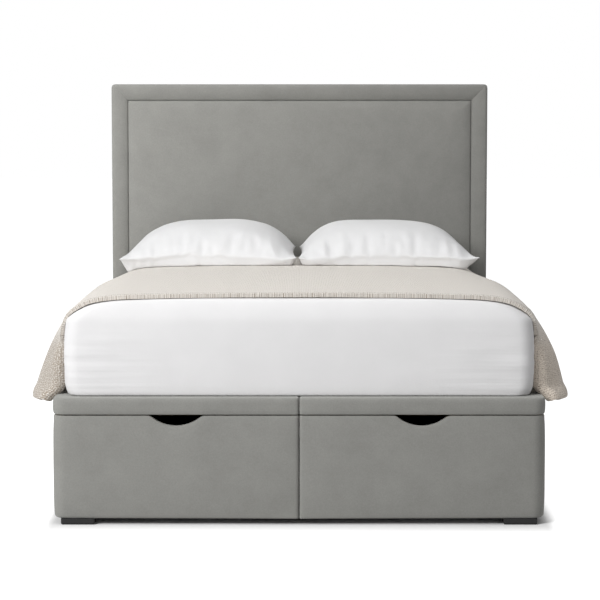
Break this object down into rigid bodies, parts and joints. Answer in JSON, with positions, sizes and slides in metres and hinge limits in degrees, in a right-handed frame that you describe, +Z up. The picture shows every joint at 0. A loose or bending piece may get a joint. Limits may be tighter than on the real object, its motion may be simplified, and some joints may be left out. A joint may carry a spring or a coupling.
{
  "type": "ottoman divan bed",
  "caption": "Upholstered king-size ottoman divan bed: split storage base, lift-up lid on gas-strut arms, bordered headboard, mattress, throw and pillows.",
  "frame": {"origin": "on the floor, under the middle of the whole bed's bounding box", "axes": "+X to the right of someone facing the foot end, +Y from the foot end towards the headboard, +Z up"},
  "size_m": [1.6662, 2.081, 1.3925],
  "materials": {
    "grey_upholstery": "short-pile grey upholstery velvet over thin wadding, matt",
    "backing_cloth": "black non-woven backing cloth",
    "timber": "bare softwood and board",
    "black_plastic": "black moulded plastic, satin",
    "zinc_fasteners": "zinc-plated steel",
    "black_steel": "black powder-coated steel",
    "bright_rod": "polished piston rod",
    "white_sheet": "white cotton fitted sheet",
    "white_pillowcase": "white cotton",
    "beige_knit": "beige ribbed knit"
  },
  "bodies": {
    "base": {"left_foot_panel": "timber", "left_head_panel": "timber", "left_outer_side_panel": "timber", "left_inner_side_panel": "timber", "left_floor_board": "timber", "left_base_cover": "grey_upholstery", "left_base_bracket": "black_steel", "right_foot_panel": "timber", "right_head_panel": "timber", "right_outer_side_panel": "timber", "right_inner_side_panel": "timber", "right_floor_board": "timber", "right_base_cover": "grey_upholstery", "right_base_bracket": "black_steel", "base_link_bolts": "zinc_fasteners", "feet": "black_plastic", "base_bracket_screws": "zinc_fasteners", "base_pivot_pins": "zinc_fasteners", "headboard_bolts": "zinc_fasteners", "headboard_left_border": "grey_upholstery", "headboard_right_border": "grey_upholstery", "headboard_top_border": "grey_upholstery", "headboard_centre_pad": "grey_upholstery", "headboard_backboard": "timber", "headboard_back_cloth": "backing_cloth"},
    "lid": {"left_lid_deck": "timber", "left_lid_outer_rail": "timber", "left_lid_inner_rail": "timber", "left_lid_foot_rail": "timber", "left_lid_head_rail": "timber", "left_lid_cross_rail": "timber", "left_lid_cover": "grey_upholstery", "left_lid_bracket": "black_steel", "left_mattress_retainer": "black_steel", "left_pillow": "white_pillowcase", "right_lid_deck": "timber", "right_lid_outer_rail": "timber", "right_lid_inner_rail": "timber", "right_lid_foot_rail": "timber", "right_lid_head_rail": "timber", "right_lid_cross_rail": "timber", "right_lid_cover": "grey_upholstery", "right_lid_bracket": "black_steel", "right_mattress_retainer": "black_steel", "right_pillow": "white_pillowcase", "lid_link_bolts": "zinc_fasteners", "lid_bracket_screws": "zinc_fasteners", "lid_pivot_pins": "zinc_fasteners", "mattress": "white_sheet", "throw": "beige_knit"},
    "left_rear_arm": {"left_rear_arm": "black_steel"},
    "left_front_arm": {"left_front_arm": "black_steel"},
    "left_strut_cylinder": {"left_strut_cylinder": "black_steel"},
    "left_strut_rod": {"left_strut_rod": "bright_rod"},
    "right_rear_arm": {"right_rear_arm": "black_steel"},
    "right_front_arm": {"right_front_arm": "black_steel"},
    "right_strut_cylinder": {"right_strut_cylinder": "black_steel"},
    "right_strut_rod": {"right_strut_rod": "bright_rod"}
  },
  "joints": [
    {"name": "left_rear_arm_swing", "type": "hinge", "parent": "base", "child": "left_rear_arm", "pos_m": [-0.716, 0.2268, 0.2506], "axis": [1, 0, 0], "range_deg": [0, 53.81]},
    {"name": "lid_lift", "type": "hinge", "parent": "left_rear_arm", "child": "lid", "pos_m": [-0.716, 0.5465, 0.3145], "axis": [-1, 0, 0], "range_deg": [0, 84.8]},
    {"name": "right_rear_arm_swing", "type": "hinge", "parent": "base", "child": "right_rear_arm", "pos_m": [0.716, 0.2268, 0.2506], "axis": [1, 0, 0], "range_deg": [0, 53.81]},
    {"name": "right_front_arm_swing", "type": "hinge", "parent": "base", "child": "right_front_arm", "pos_m": [0.704, -0.0311, 0.1277], "axis": [1, 0, 0], "range_deg": [0, 40.9]},
    {"name": "right_strut_swing", "type": "hinge", "parent": "base", "child": "right_strut_cylinder", "pos_m": [0.71, 0.4375, 0.0705], "axis": [1, 0, 0], "range_deg": [0, 48.17]},
    {"name": "right_strut_travel", "type": "slide", "parent": "right_strut_cylinder", "child": "right_strut_rod", "axis": [0, 0.7159, 0.6982], "range_m": [0, 0.10486]},
    {"name": "left_front_arm_swing", "type": "hinge", "parent": "base", "child": "left_front_arm", "pos_m": [-0.704, -0.0311, 0.1277], "axis": [1, 0, 0], "range_deg": [0, 40.9]},
    {"name": "left_strut_swing", "type": "hinge", "parent": "base", "child": "left_strut_cylinder", "pos_m": [-0.71, 0.4375, 0.0705], "axis": [1, 0, 0], "range_deg": [0, 48.17]},
    {"name": "left_strut_travel", "type": "slide", "parent": "left_strut_cylinder", "child": "left_strut_rod", "axis": [0, 0.7159, 0.6982], "range_m": [0, 0.10486]}
  ],
  "couplings": [
    {"joint": "left_rear_arm_swing", "follows": "lid_lift", "ratio": 0.63443},
    {"joint": "right_rear_arm_swing", "follows": "lid_lift", "ratio": 0.63443},
    {"joint": "right_front_arm_swing", "follows": "lid_lift", "ratio": 0.48221},
    {"joint": "right_strut_swing", "follows": "lid_lift", "ratio": 0.56792},
    {"joint": "right_strut_travel", "follows": "lid_lift", "m_per_rad": 0.070784},
    {"joint": "left_front_arm_swing", "follows": "lid_lift", "ratio": 0.48221},
    {"joint": "left_strut_swing", "follows": "lid_lift", "ratio": 0.56792},
    {"joint": "left_strut_travel", "follows": "lid_lift", "m_per_rad": 0.070784}
  ]
}
